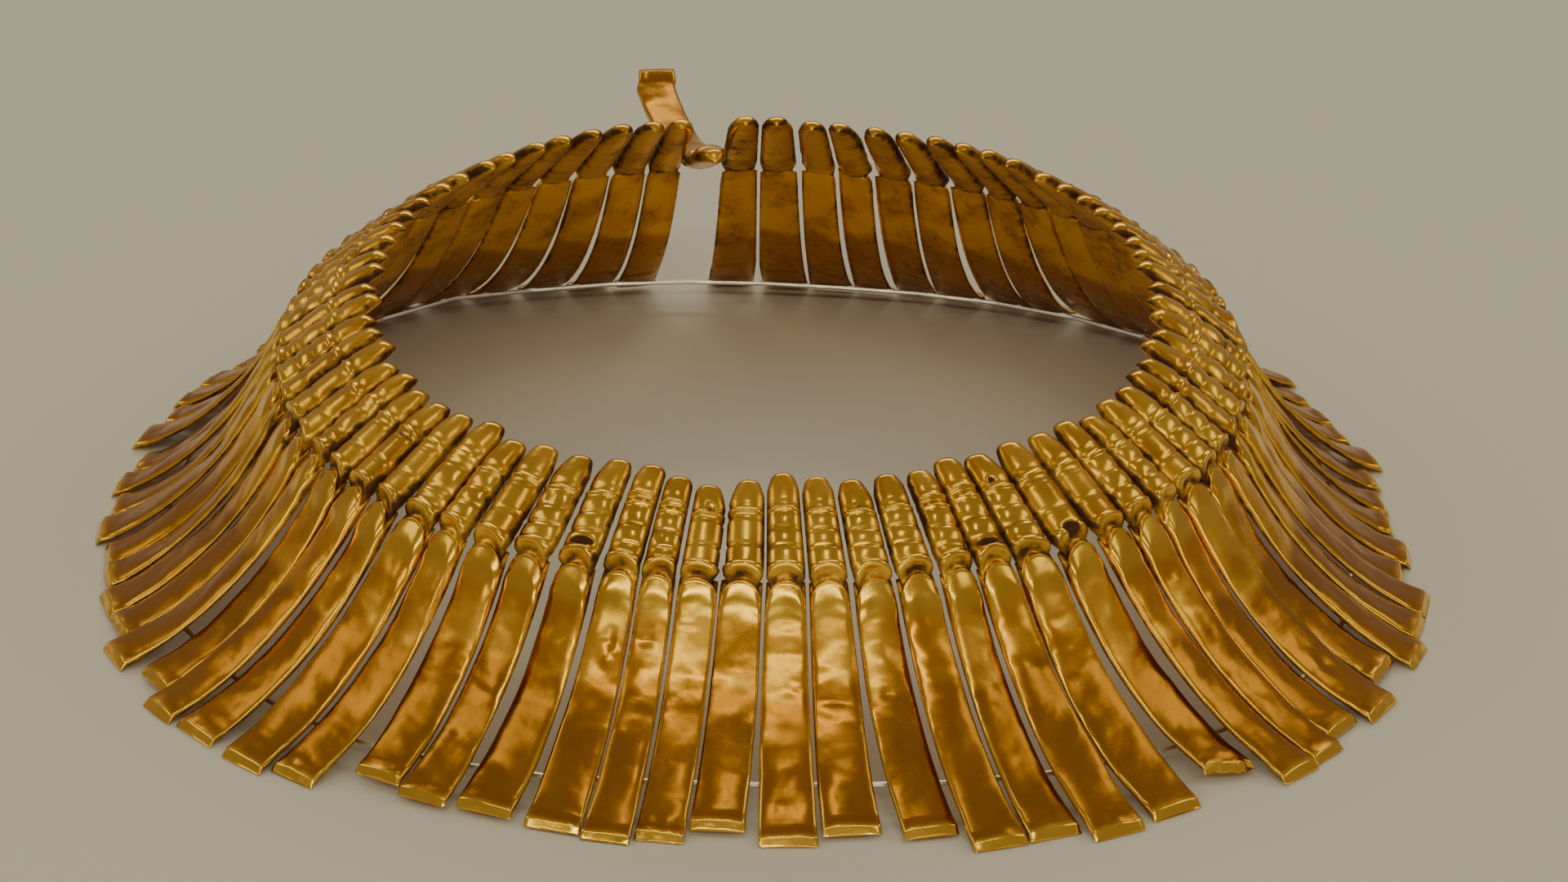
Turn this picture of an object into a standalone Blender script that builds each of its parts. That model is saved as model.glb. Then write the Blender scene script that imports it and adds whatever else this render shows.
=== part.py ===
"""Gold collar necklace of hollow sheet pendants, standing flared on its blade ends.

Metres, +Z up, the front faces -Y. The origin lies on the ground under the middle of the bounding
box. Every pendant has a head of ring-like bulges, a neck and a long blade that flares out to a
flat foot. The solids stand for hollow sheet gold, so each one fills its own outer shape.
"""

import math
import random
from dataclasses import dataclass

import bmesh
import bpy
from mathutils import Matrix, Vector

MILLIMETRE = 0.001

# Collar rings: half width across (X), half depth (Y), height, rise towards the back, squareness
TIP_RING_WIDTH = 0.0640
TIP_RING_DEPTH = 0.0670
TIP_HEIGHT = 0.0435
TIP_BACK_RISE = 0.0680
NAIL_RING_WIDTH = 0.0785
NAIL_RING_DEPTH = 0.0805
NAIL_HEIGHT = 0.0325
NAIL_BACK_RISE = 0.0300
END_RING_WIDTH = 0.1110
END_RING_DEPTH = 0.1095
TIP_SQUARENESS = 2.08
NAIL_SQUARENESS = 2.17
END_SQUARENESS = 2.45

# Pendants round the ring
PENDANT_COUNT = 74
FIRST_ANGLE = math.radians(3.2)
HEAD_BUNCHING = math.radians(2.6)
PENDANT_GAP = 0.00035
RAISED_PENDANT = 38
RAISED_BLADE_ANGLE = math.radians(55.0)
RAISED_HEAD_ANGLE = math.radians(20.0)
FIRST_PAIR = 22
PAIR_COUNT = 15
PAIR_LEAN = math.radians(0.45)
PAIR_TOUCH = 0.00022

# Head of one pendant
HEAD_WIDTH = 0.0052
HEAD_DEPTH = 0.0036
TIP_SHARE = 0.50
TIP_THINNING = 0.0010
GROOVE_DEPTH = 0.00045
TAPER_START = 0.42
BULGE_MIDDLE = 0.5
GROOVE_PLACE = 0.95
NECK_SHARE = 0.97
NECK_DEPTH = 0.0022
NECK_WIDTH = 0.0046

# Blade of one pendant
NAIL_WIDTH = 0.0058
NAIL_PROUD = 0.0006
NAIL_DROP = 0.0012
BLADE_EDGE = 0.0009
BLADE_CROWN = 0.0007
END_WIDTH = 0.0086
FOOT_LENGTH = 0.0035
STEEP_START = math.radians(13.0)
FLARE_END = math.radians(21.0)

# Support wire that passes just under all blades, behind their feet
WIRE_DIAMETER = 0.0009
WIRE_BEHIND_FOOT = 0.0075
WIRE_GAP = 0.00046
WIRE_SLOPE = 0.06
WIRE_POINTS = 42

# Ways in which pendants differ, as the largest departure from the regular place
SEED = 11
HEAD_SWAY = math.radians(0.35)
END_SWAY = math.radians(0.9)
REACH_SPREAD = 0.0022
TIP_SPREAD = 0.0010
TWIST_SPREAD = math.radians(7.0)
LIFT_PER_SHORTFALL = 0.35

# Sections and steps of the solids
FRONT_SHARE = 0.94
FRONT_BULGES = 4
BACK_BULGES = 3
PLAIN_FROM = 17
PLAIN_TO = 57
BLADE_STEPS = 3

GOLD_COLOUR = (0.72, 0.43, 0.09, 1.0)
WIRE_COLOUR = (0.62, 0.62, 0.60, 1.0)


@dataclass
class Pose:
    """How one pendant departs from the regular ring: turns in degrees, lengths in millimetres."""

    head_turn: float
    end_turn: float
    reach: float
    rise: float


# Poses seen from the front, from left to right; the eighth is the pendant nearest the middle
FRONT_POSES = (
    Pose(0.0, 1.0, -4.5, 0.3),
    Pose(0.7, 0.0, -2.5, 0.2),
    Pose(1.3, 0.4, -2.2, 1.0),
    Pose(1.2, 1.2, -0.5, 0.9),
    Pose(0.5, 0.6, 1.2, -0.6),
    Pose(-0.2, -0.6, 0.2, -1.7),
    Pose(0.2, -1.1, -2.2, -0.4),
    Pose(0.1, -0.4, 0.6, 1.0),
    Pose(-0.1, -0.3, -1.8, 0.2),
    Pose(-0.3, 0.9, -1.2, -0.7),
    Pose(-0.2, 0.5, 2.6, -0.3),
    Pose(-0.5, 0.1, 1.2, -0.4),
    Pose(-0.7, -0.4, 3.2, 0.9),
    Pose(-1.0, 0.2, 0.8, 0.3),
    Pose(-0.3, 2.2, -2.6, 0.8),
    Pose(0.1, 2.0, 2.2, 0.4),
)
MIDDLE_POSE = 7
RAISED_POSE = Pose(0.4, 2.6, 0.0, 0.0)


@dataclass
class Station:
    """One cross-section of a pendant: back face centre, frame, widths and depths."""

    centre: Vector
    side: Vector
    outward: Vector
    width: float
    edge: float
    crown: float


def ring_point(angle, half_width, half_depth, squareness, height, back_rise):
    """Point of a slightly squared ring, with the angle measured from the front."""
    across, along = math.sin(angle), -math.cos(angle)
    share = abs(across) ** squareness + abs(along) ** squareness
    reach = share ** (-1.0 / squareness)
    y = half_depth * along * reach
    return Vector((half_width * across * reach, y, height + back_rise * y))


def tip_point(angle):
    """Where a pendant's rounded tip lies, on its back."""
    return ring_point(
        angle, TIP_RING_WIDTH, TIP_RING_DEPTH, TIP_SQUARENESS, TIP_HEIGHT, TIP_BACK_RISE
    )


def nail_point(angle):
    """Where a pendant's head ends and its blade begins."""
    return ring_point(
        angle, NAIL_RING_WIDTH, NAIL_RING_DEPTH, NAIL_SQUARENESS, NAIL_HEIGHT, NAIL_BACK_RISE
    )


def end_point(angle, inset=0.0):
    """Where a blade ends on the ground, or a point that far inside."""
    return ring_point(
        angle, END_RING_WIDTH - inset, END_RING_DEPTH - inset, END_SQUARENESS, 0.0, 0.0
    )


def is_paired(index):
    """True for the pendants at the back that touch a neighbour, the raised one left out."""
    place = index - FIRST_PAIR
    last = 2 * PAIR_COUNT
    return 0 <= place <= last and index != RAISED_PENDANT


def pairs():
    """Index pairs of the touching pendants."""
    members = [index for index in range(PENDANT_COUNT) if is_paired(index)]
    return list(zip(members[0::2], members[1::2]))


def pose_of(index, rng):
    """Pose from the front list or the raised one's, or else a seeded one."""
    seeded = Pose(
        math.degrees(rng.uniform(-HEAD_SWAY, HEAD_SWAY)),
        math.degrees(rng.uniform(-END_SWAY, END_SWAY)),
        rng.uniform(-REACH_SPREAD, REACH_SPREAD) / MILLIMETRE,
        rng.uniform(-TIP_SPREAD, TIP_SPREAD) / MILLIMETRE,
    )
    place = (index + MIDDLE_POSE) % PENDANT_COUNT
    if index == RAISED_PENDANT:
        return RAISED_POSE
    return FRONT_POSES[place] if place < len(FRONT_POSES) else seeded


def head_profile(bulges):
    """Shares of the head's length with a width share and a depth change, from tip to neck."""
    rows = [(0.0, TIP_SHARE, -TIP_THINNING)]
    for number in range(bulges):
        grown = TAPER_START + (1 - TAPER_START) * (number + 1) / bulges
        width = math.sin(math.pi / 2 * grown)
        rows.append(((number + BULGE_MIDDLE) / bulges, width, 0.0))
        if number < bulges - 1:
            rows.append(((number + GROOVE_PLACE) / bulges, width, -GROOVE_DEPTH))
    return rows


def blade_curve(start, finish):
    """Points from nail to foot on a curve that drops steeply first and then flares out."""
    chord = finish - start
    level = Vector((chord.x, chord.y, 0.0))
    slope = math.atan2(-chord.z, level.length)
    steep = slope + STEEP_START
    first = chord.length * math.sin(FLARE_END) / math.sin(STEEP_START + FLARE_END)
    down = Vector((0, 0, -1))
    bend = start + first * (math.cos(steep) * level.normalized() + math.sin(steep) * down)
    points = []
    for number in range(BLADE_STEPS + 1):
        t = number / BLADE_STEPS
        points.append((1 - t) ** 2 * start + 2 * t * (1 - t) * bend + t * t * finish)
    return points


def turned(rows, nail, angle, tangent):
    """Rows swung up about the place where head and blade meet."""
    turn = Matrix.Rotation(angle, 3, -tangent)
    return [(nail + turn @ (row[0] - nail), *row[1:]) for row in rows]


def centre_line(index, pose, bulges):
    """Back-face points of one pendant, each with its nominal width, edge and crown."""
    regular = FIRST_ANGLE + 2 * math.pi * index / PENDANT_COUNT
    head_angle = regular - HEAD_BUNCHING * math.sin(regular) + math.radians(pose.head_turn)
    for first, second in pairs():
        head_angle += PAIR_LEAN * ((index == first) - (index == second))
    nail = nail_point(head_angle)
    tip = tip_point(head_angle)
    tip += (tip - nail).normalized() * pose.rise * MILLIMETRE
    end = end_point(regular + math.radians(pose.end_turn))
    out = end.normalized()
    lift = max(0.0, -pose.reach) * LIFT_PER_SHORTFALL * MILLIMETRE
    end += out * pose.reach * MILLIMETRE + Vector((0, 0, lift))
    foot = end - out * FOOT_LENGTH
    rows = []
    for share, width, change in head_profile(bulges):
        depth = HEAD_DEPTH * (1 + width) / 2 + change
        rows.append((tip.lerp(nail, share), HEAD_WIDTH * width + change / 2, depth / 2, depth / 2))
    rows.append((tip.lerp(nail, NECK_SHARE), NECK_WIDTH, NECK_DEPTH / 2, NECK_DEPTH / 2))
    top = nail + (end - nail).normalized() * NAIL_DROP
    for number, point in enumerate(blade_curve(top, foot)):
        width = NAIL_WIDTH + (END_WIDTH - NAIL_WIDTH) * number / BLADE_STEPS
        proud = NAIL_PROUD if number == 0 else 0.0
        rows.append((point, width, BLADE_EDGE + proud, BLADE_CROWN + proud))
    rows.append((end, END_WIDTH, BLADE_EDGE, BLADE_CROWN))
    if index == RAISED_PENDANT:
        tangent = Vector((math.cos(head_angle), math.sin(head_angle), 0))
        blade = BLADE_STEPS + 2
        head_rows = turned(rows[:-blade], nail, RAISED_HEAD_ANGLE, tangent)
        rows = head_rows + turned(rows[-blade:], nail, RAISED_BLADE_ANGLE, tangent)
    return rows


def stations_of(rows, twist):
    """Frames along the centre line, with no twist at the foot, which lies level."""
    stations = []
    for number, (point, width, edge, crown) in enumerate(rows):
        at_foot = number >= len(rows) - 2
        before = rows[-2][0] if at_foot else rows[max(number - 1, 0)][0]
        after = rows[-1][0] if at_foot else rows[number + 1][0]
        along = (after - before).normalized()
        side = along.cross(Vector((0, 0, 1))).normalized()
        side = Matrix.Rotation(0.0 if at_foot else twist, 3, along) @ side
        outward = side.cross(along).normalized()
        stations.append(Station(point, side, outward, width, edge, crown))
    return stations


def nearest_on_line(stations, point):
    """The point of a neighbour's centre line that lies nearest."""
    found = []
    for first, second in zip(stations, stations[1:]):
        run = second.centre - first.centre
        share = (point - first.centre).dot(run) / run.length_squared
        found.append(first.centre + min(1.0, max(0.0, share)) * run)
    return min(found, key=lambda spot: (spot - point).length)


def limit_widths(pendants):
    """Keeps every section clear of its neighbours."""
    for index, stations in pendants.items():
        beside = [pendants[(index + step) % PENDANT_COUNT] for step in (-1, 1)]
        for station in stations:
            for other in beside:
                spot = nearest_on_line(other, station.centre)
                room = abs((spot - station.centre).dot(station.side))
                station.width = min(station.width, room - PENDANT_GAP)


def meet_partner(first, second):
    """Turns and widens the lowest bulges of a pair until they just run into each other."""
    neck, end = 1, 1
    lowest_bulge = -(end + BLADE_STEPS + 1 + neck) - 1
    bulges = (first[lowest_bulge], second[lowest_bulge])
    run = bulges[1].centre - bulges[0].centre
    for bulge in bulges:
        along = bulge.outward.cross(bulge.side)
        bulge.side = math.copysign(1.0, run.dot(bulge.side)) * run.normalized()
        bulge.outward = bulge.side.cross(along).normalized()
        bulge.width = run.length + PAIR_TOUCH


def section(station):
    """Five corners of a section: flat back, upright edges and a ridged front."""
    half = station.width / 2
    corners = (
        (-half, 0.0),
        (half, 0.0),
        (half * FRONT_SHARE, station.edge),
        (0.0, station.edge + station.crown),
        (-half * FRONT_SHARE, station.edge),
    )
    return [station.centre + x * station.side + y * station.outward for x, y in corners]


def loft(name, stations):
    """Closed mesh through the sections of one pendant, which differ along its length."""
    shape = bmesh.new()
    rings = [[shape.verts.new(corner) for corner in section(item)] for item in stations]
    for upper, lower in zip(rings, rings[1:]):
        for number in range(len(upper)):
            following = (number + 1) % len(upper)
            shape.faces.new((upper[number], upper[following], lower[following], lower[number]))
    shape.faces.new(rings[0])
    shape.faces.new(rings[-1])
    bmesh.ops.recalc_face_normals(shape, faces=shape.faces)
    mesh = bpy.data.meshes.new(name)
    shape.to_mesh(mesh)
    shape.free()
    return mesh


def metal(name, colour, roughness):
    """Principled metal of one colour."""
    made = bpy.data.materials.new(name)
    made.use_nodes = True
    shader = made.node_tree.nodes["Principled BSDF"]
    shader.inputs["Base Color"].default_value = colour
    shader.inputs["Metallic"].default_value = 1.0
    shader.inputs["Roughness"].default_value = roughness
    return made


def pendant_object(name, stations, collection):
    """One pendant as an object with its own gold."""
    thing = bpy.data.objects.new(name, loft(name, stations))
    thing.data.materials.append(metal(name + "_gold", GOLD_COLOUR, 0.32))
    collection.objects.link(thing)
    return thing


def join_pair(first, second, guides):
    """Makes two touching pendants one solid; the second stays as the hidden guide."""
    for collection in list(second.users_collection):
        collection.objects.unlink(second)
    guides.objects.link(second)
    second.hide_render = True
    second.display_type = "WIRE"
    union = first.modifiers.new("touching_neighbour", "BOOLEAN")
    union.operation = "UNION"
    union.solver = "EXACT"
    union.object = second


def outside_wire(point):
    """Above zero outside the wire's ring, below zero inside it."""
    inset = FOOT_LENGTH + WIRE_BEHIND_FOOT
    across = abs(point.x) / (END_RING_WIDTH - inset)
    along = abs(point.y) / (END_RING_DEPTH - inset)
    return across**END_SQUARENESS + along**END_SQUARENESS - 1.0


def above_wire(line):
    """Points where a line from a head to a foot passes over the wire's ring."""
    found = []
    for high, low in zip(line, line[1:]):
        before, after = outside_wire(high), outside_wire(low)
        if before <= 0 < after:
            found.append(high.lerp(low, before / (before - after)))
    return found


def regular_height(angle):
    """Height of a regular blade's underside where it passes over the wire."""
    end = end_point(angle)
    foot = end - end.normalized() * FOOT_LENGTH
    return above_wire([*blade_curve(nail_point(angle), foot), end])[0].z


def wire_drops(pendants):
    """Where the real blades pass over the wire, and how far each lies under a regular one."""
    drops = []
    for stations in pendants.values():
        for hand in (-0.5, 0.5):
            edge = [item.centre + hand * item.width * item.side for item in stations]
            for spot in above_wire(edge):
                angle = math.atan2(spot.x / END_RING_WIDTH, -spot.y / END_RING_DEPTH)
                drops.append((spot.xy, regular_height(angle) - spot.z))
    return drops


def support_wire(drops, collection):
    """Closed hoop of wire that clears the blades above it, and rises and falls gently."""
    straight = 2 * math.pi * END_RING_WIDTH / WIRE_POINTS
    curve = bpy.data.curves.new("support_wire", "CURVE")
    curve.dimensions = "3D"
    curve.bevel_depth = WIRE_DIAMETER / 2
    curve.bevel_resolution = 1
    spline = curve.splines.new("POLY")
    spline.points.add(WIRE_POINTS - 1)
    for number, point in enumerate(spline.points):
        angle = 2 * math.pi * number / WIRE_POINTS
        spot = end_point(angle, FOOT_LENGTH + WIRE_BEHIND_FOOT)
        beyond = [max(0.0, (place - spot.xy).length - straight) for place, _ in drops]
        drop = max(low - WIRE_SLOPE * far for (_, low), far in zip(drops, beyond))
        height = regular_height(angle) - drop - WIRE_GAP - WIRE_DIAMETER / 2
        point.co = (spot.x, spot.y, height, 1.0)
    spline.use_cyclic_u = True
    curve.materials.append(metal("support_wire_steel", WIRE_COLOUR, 0.35))
    thing = bpy.data.objects.new("support_wire", curve)
    collection.objects.link(thing)
    return thing


def build_collar():
    """Makes all pendants and the wire."""
    collar = bpy.data.collections.new("gold_necklace")
    guides = bpy.data.collections.new("guides")
    for collection in (collar, guides):
        bpy.context.scene.collection.children.link(collection)
    rng = random.Random(SEED)
    poses = [pose_of(index, rng) for index in range(PENDANT_COUNT)]
    twists = [rng.uniform(-TWIST_SPREAD, TWIST_SPREAD) for _ in range(PENDANT_COUNT)]
    for first, second in pairs():
        poses[second].rise = poses[first].rise
        twists[second] = twists[first]
    pendants = {}
    for index in range(PENDANT_COUNT):
        bulges = BACK_BULGES if PLAIN_FROM <= index <= PLAIN_TO else FRONT_BULGES
        rows = centre_line(index, poses[index], bulges)
        pendants[index] = stations_of(rows, twists[index])
    limit_widths(pendants)
    for first, second in pairs():
        meet_partner(pendants[first], pendants[second])
    objects = {}
    for index, stations in pendants.items():
        name = f"pendant_{index + 1:02d}"
        if index == RAISED_PENDANT:
            name = "raised_" + name
        objects[index] = pendant_object(name, stations, collar)
    for first, second in pairs():
        join_pair(objects[first], objects[second], guides)
        objects[first].name = f"pendant_pair_{first + 1:02d}_{second + 1:02d}"
    support_wire(wire_drops(pendants), collar)
    return collar, guides


def centre_on_origin(collar, guides):
    """Moves everything level, so that the origin is under the middle of the bounding box."""
    bpy.context.view_layer.update()
    corners = [Vector(corner) for thing in collar.objects for corner in thing.bound_box]
    lows = [min(corner[axis] for corner in corners) for axis in (0, 1)]
    highs = [max(corner[axis] for corner in corners) for axis in (0, 1)]
    middle = [(low + high) / 2 for low, high in zip(lows, highs)]
    for thing in list(collar.objects) + list(guides.objects):
        thing.location = (-middle[0], -middle[1], 0)


def main():
    """Clears the scene and builds the necklace."""
    for thing in list(bpy.data.objects):
        bpy.data.objects.remove(thing)
    collar, guides = build_collar()
    centre_on_origin(collar, guides)


main()
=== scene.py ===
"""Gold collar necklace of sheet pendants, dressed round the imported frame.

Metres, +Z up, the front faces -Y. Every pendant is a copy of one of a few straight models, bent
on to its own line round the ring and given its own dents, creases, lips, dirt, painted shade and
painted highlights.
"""

import logging
import math
import random
from bisect import bisect_right
from dataclasses import dataclass, field, replace
from enum import Enum

import bpy
from mathutils import Matrix, Vector, noise


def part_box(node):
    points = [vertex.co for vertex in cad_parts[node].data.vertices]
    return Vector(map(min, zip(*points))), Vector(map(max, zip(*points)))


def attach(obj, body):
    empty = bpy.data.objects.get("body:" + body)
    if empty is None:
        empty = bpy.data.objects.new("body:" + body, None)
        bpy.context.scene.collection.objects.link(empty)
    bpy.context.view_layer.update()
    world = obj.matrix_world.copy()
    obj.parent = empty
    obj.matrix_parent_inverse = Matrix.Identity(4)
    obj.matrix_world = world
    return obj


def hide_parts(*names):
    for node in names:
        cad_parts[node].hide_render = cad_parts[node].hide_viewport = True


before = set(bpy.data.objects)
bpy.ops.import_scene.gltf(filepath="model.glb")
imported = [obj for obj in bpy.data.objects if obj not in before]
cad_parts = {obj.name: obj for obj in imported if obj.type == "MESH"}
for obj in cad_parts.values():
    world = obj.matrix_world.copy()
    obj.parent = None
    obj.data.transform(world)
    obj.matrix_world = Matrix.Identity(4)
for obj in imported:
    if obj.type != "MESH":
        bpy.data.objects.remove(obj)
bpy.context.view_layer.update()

MM = 0.001
LOG = logging.getLogger("necklace")
Colour = tuple[float, float, float]
Socket = bpy.types.NodeSocket
Value = Socket | Colour | float


def smooth(low: float, high: float, value: float) -> float:
    """Soft step that is 0 at low, 1 at high and level beyond either."""
    share = min(1.0, max(0.0, (value - low) / (high - low)))
    return share * share * (3 - 2 * share)


def hump(middle: float, half: float, value: float) -> float:
    """Rounded hump that is 1 at its middle and falls to 0 at half its width from there."""
    share = abs(value - middle) / half
    return (1 - share * share) ** 2 if share < 1 else 0.0


@dataclass(frozen=True)
class Ring:
    """One of the collar's slightly squared rings, with its angle measured from the front."""

    half_width: float
    half_depth: float
    squareness: float
    height: float = 0.0
    back_rise: float = 0.0

    def point(self, angle: float) -> Vector:
        """Place on the ring.

        Args:
            angle: Turn from the front, anticlockwise as seen from above.

        Returns:
            The point, about the ring's own centre.
        """
        across, along = math.sin(angle), -math.cos(angle)
        share = abs(across) ** self.squareness + abs(along) ** self.squareness
        reach = share ** (-1.0 / self.squareness)
        y = self.half_depth * along * reach
        return Vector((self.half_width * across * reach, y, self.height + self.back_rise * y))


@dataclass(frozen=True)
class Pose:
    """How one pendant departs from the regular ring: turns in degrees, lengths in mm."""

    head_turn: float
    end_turn: float
    reach: float
    rise: float


@dataclass
class Frame:
    """A place on a pendant's line, with its directions and the room free on either side."""

    centre: Vector
    side: Vector
    outward: Vector
    before: float = 1.0
    beyond: float = 1.0


@dataclass
class PendantLine:
    """The line that one pendant's back follows, from its tip to its end."""

    frames: list[Frame]
    head_length: float
    lengths: list[float] = field(default_factory=list)

    def measure(self) -> None:
        """Works out how far each frame is from the tip."""
        self.lengths = [0.0]
        for first, second in zip(self.frames, self.frames[1:]):
            step = (second.centre - first.centre).length
            self.lengths.append(self.lengths[-1] + step)

    @property
    def total(self) -> float:
        """Length of the whole line."""
        return self.lengths[-1]

    def at(self, distance: float) -> Frame:
        """Frame at a distance from the tip.

        Args:
            distance: Length along the line, which may lie a little beyond either end.

        Returns:
            The frame there, blended from its two neighbours.
        """
        low = min(max(bisect_right(self.lengths, distance) - 1, 0), len(self.lengths) - 2)
        first, second = self.frames[low], self.frames[low + 1]
        share = (distance - self.lengths[low]) / (self.lengths[low + 1] - self.lengths[low])
        inside = min(1.0, max(0.0, share))
        return Frame(
            first.centre.lerp(second.centre, share),
            first.side.lerp(second.side, inside).normalized(),
            first.outward.lerp(second.outward, inside).normalized(),
            first.before + (second.before - first.before) * inside,
            first.beyond + (second.beyond - first.beyond) * inside,
        )


@dataclass
class CollarPlan:
    """The collar's rings and rules, the same as those the solids follow."""

    tip_ring: Ring = Ring(0.0640, 0.0670, 2.08, 0.0435, 0.0680)
    nail_ring: Ring = Ring(0.0785, 0.0805, 2.17, 0.0325, 0.0300)
    end_ring: Ring = Ring(0.1110, 0.1095, 2.45)
    count: int = 74
    first_angle: float = math.radians(3.2)
    head_bunching: float = math.radians(2.6)
    raised: int = 38
    raised_blade_angle: float = math.radians(55.0)
    raised_head_angle: float = math.radians(20.0)
    raised_pose: Pose = Pose(0.4, 2.6, 0.0, 0.0)
    first_pair: int = 22
    pair_count: int = 15
    pair_lean: float = math.radians(0.20)
    nail_drop: float = 1.2 * MM
    foot_length: float = 3.5 * MM
    heel_height: float = 0.9 * MM
    steep_start: float = math.radians(13.0)
    flare_end: float = math.radians(21.0)
    seed: int = 11
    head_sway: float = 0.35
    end_sway: float = 0.9
    reach_spread: float = 2.2
    rise_spread: float = 1.0
    twist_spread: float = math.radians(7.0)
    lift_per_shortfall: float = 0.35
    gap: float = 0.36 * MM
    widest: float = 8.9 * MM
    head_steps: int = 9
    blade_steps: int = 20
    untwist_from: int = 9
    untwist_to: int = 2
    middle_pose: int = 7
    front_poses: tuple[Pose, ...] = (
        Pose(0.0, 1.0, -4.5, 0.3), Pose(0.7, 0.0, -2.5, 0.2), Pose(1.3, 0.4, -2.2, 1.0),
        Pose(1.2, 1.2, -0.5, 0.9), Pose(0.5, 0.6, 1.2, -0.6), Pose(-0.2, -0.6, 0.2, -1.7),
        Pose(0.2, -1.1, -2.2, -0.4), Pose(0.1, -0.4, 0.6, 1.0), Pose(-0.1, -0.3, -1.8, 0.2),
        Pose(-0.3, 0.9, -1.2, -0.7), Pose(-0.2, 0.5, 2.6, -0.3), Pose(-0.5, 0.1, 1.2, -0.4),
        Pose(-0.7, -0.4, 3.2, 0.9), Pose(-1.0, 0.2, 0.8, 0.3), Pose(-0.3, 2.2, -2.6, 0.8),
        Pose(0.1, 2.0, 2.2, 0.4),
    )

    def is_paired(self, index: int) -> bool:
        """Whether a pendant shares its node with a neighbour, as those at the back do."""
        place = index - self.first_pair
        return 0 <= place <= 2 * self.pair_count and index != self.raised

    def pairs(self) -> list[tuple[int, int]]:
        """Numbers of the pendants that share a node, two and two."""
        members = [index for index in range(self.count) if self.is_paired(index)]
        return list(zip(members[0::2], members[1::2]))

    def node_of(self, index: int) -> str:
        """Name of the node that a pendant stands for.

        Args:
            index: The pendant's number, from 0.

        Returns:
            The name in the frame.
        """
        for first, second in self.pairs():
            if index in (first, second):
                return f"pendant_pair_{first + 1:02d}_{second + 1:02d}"
        prefix = "raised_" if index == self.raised else ""
        return f"{prefix}pendant_{index + 1:02d}"

    def pose_of(self, index: int, rng: random.Random) -> Pose:
        """Pose from the front list, or a seeded one.

        Args:
            index: The pendant's number, from 0.
            rng: The collar's own generator, which is always drawn from four times.

        Returns:
            The pendant's pose.
        """
        seeded = Pose(
            math.degrees(rng.uniform(-math.radians(self.head_sway), math.radians(self.head_sway))),
            math.degrees(rng.uniform(-math.radians(self.end_sway), math.radians(self.end_sway))),
            rng.uniform(-self.reach_spread * MM, self.reach_spread * MM) / MM,
            rng.uniform(-self.rise_spread * MM, self.rise_spread * MM) / MM,
        )
        place = (index + self.middle_pose) % self.count
        if index == self.raised:
            return self.raised_pose
        return self.front_poses[place] if place < len(self.front_poses) else seeded

    def blade_points(self, start: Vector, finish: Vector) -> list[Vector]:
        """Curve that drops steeply first and then flares out.

        Args:
            start: The nail's top.
            finish: Where the foot begins.

        Returns:
            Points from the start to the finish.
        """
        chord = finish - start
        level = Vector((chord.x, chord.y, 0.0))
        steep = math.atan2(-chord.z, level.length) + self.steep_start
        first = chord.length * math.sin(self.flare_end) / math.sin(self.steep_start + self.flare_end)
        fall = math.cos(steep) * level.normalized() + math.sin(steep) * Vector((0, 0, -1))
        bend = start + first * fall
        points = []
        for number in range(self.blade_steps + 1):
            t = number / self.blade_steps
            points.append((1 - t) ** 2 * start + 2 * t * (1 - t) * bend + t * t * finish)
        return points

    def line_of(self, index: int, pose: Pose, twist: float, centre: Vector) -> PendantLine:
        """The line that one pendant follows.

        Args:
            index: The pendant's number, from 0.
            pose: Its departure from the regular ring.
            twist: Its turn about its own length.
            centre: The ring's centre in the frame.

        Returns:
            The measured line with its frames.
        """
        regular = self.first_angle + 2 * math.pi * index / self.count
        head_angle = regular - self.head_bunching * math.sin(regular)
        head_angle += math.radians(pose.head_turn)
        for first, second in self.pairs():
            head_angle += self.pair_lean * ((index == first) - (index == second))
        nail, tip = self.nail_ring.point(head_angle), self.tip_ring.point(head_angle)
        tip += (tip - nail).normalized() * pose.rise * MM
        end = self.end_ring.point(regular + math.radians(pose.end_turn))
        out = end.normalized()
        lift = max(0.0, -pose.reach) * self.lift_per_shortfall * MM
        end += out * pose.reach * MM + Vector((0, 0, lift))
        foot = end - out * self.foot_length
        top = nail + (end - nail).normalized() * self.nail_drop
        head = [tip.lerp(nail, step / self.head_steps) for step in range(self.head_steps + 1)]
        heel = foot + Vector((0, 0, self.heel_height))
        blade = self.blade_points(top, heel) + [end]
        if index == self.raised:
            tangent = Vector((math.cos(head_angle), math.sin(head_angle), 0))
            turn = Matrix.Rotation(self.raised_head_angle, 3, -tangent)
            head = [nail + turn @ (point - nail) for point in head]
            turn = Matrix.Rotation(self.raised_blade_angle, 3, -tangent)
            blade = [nail + turn @ (point - nail) for point in blade]
        points = head + blade
        frames = []
        for number, point in enumerate(points):
            before = points[max(number - 1, 0)]
            after = points[min(number + 1, len(points) - 1)]
            along = (after - before).normalized()
            left = len(points) - number
            foot_share = smooth(self.untwist_from, self.untwist_to, left)
            side = along.cross(Vector((0, 0, 1))).normalized()
            side = Matrix.Rotation(twist * (1 - foot_share), 3, along) @ side
            outward = side.cross(along).normalized()
            frames.append(Frame(point + centre, side, outward))
        line = PendantLine(frames, (nail - tip).length + self.nail_drop)
        line.measure()
        return line

    def nearest(self, line: PendantLine, point: Vector) -> Vector:
        """The point of a line that lies nearest to a place.

        Args:
            line: The neighbour's line.
            point: The place.

        Returns:
            The nearest point.
        """
        best, closest = line.frames[0].centre, 1.0
        for first, second in zip(line.frames, line.frames[1:]):
            run = second.centre - first.centre
            share = min(1.0, max(0.0, (point - first.centre).dot(run) / run.length_squared))
            spot = first.centre + share * run
            distance = (spot - point).length
            if distance < closest:
                best, closest = spot, distance
        return best

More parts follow.
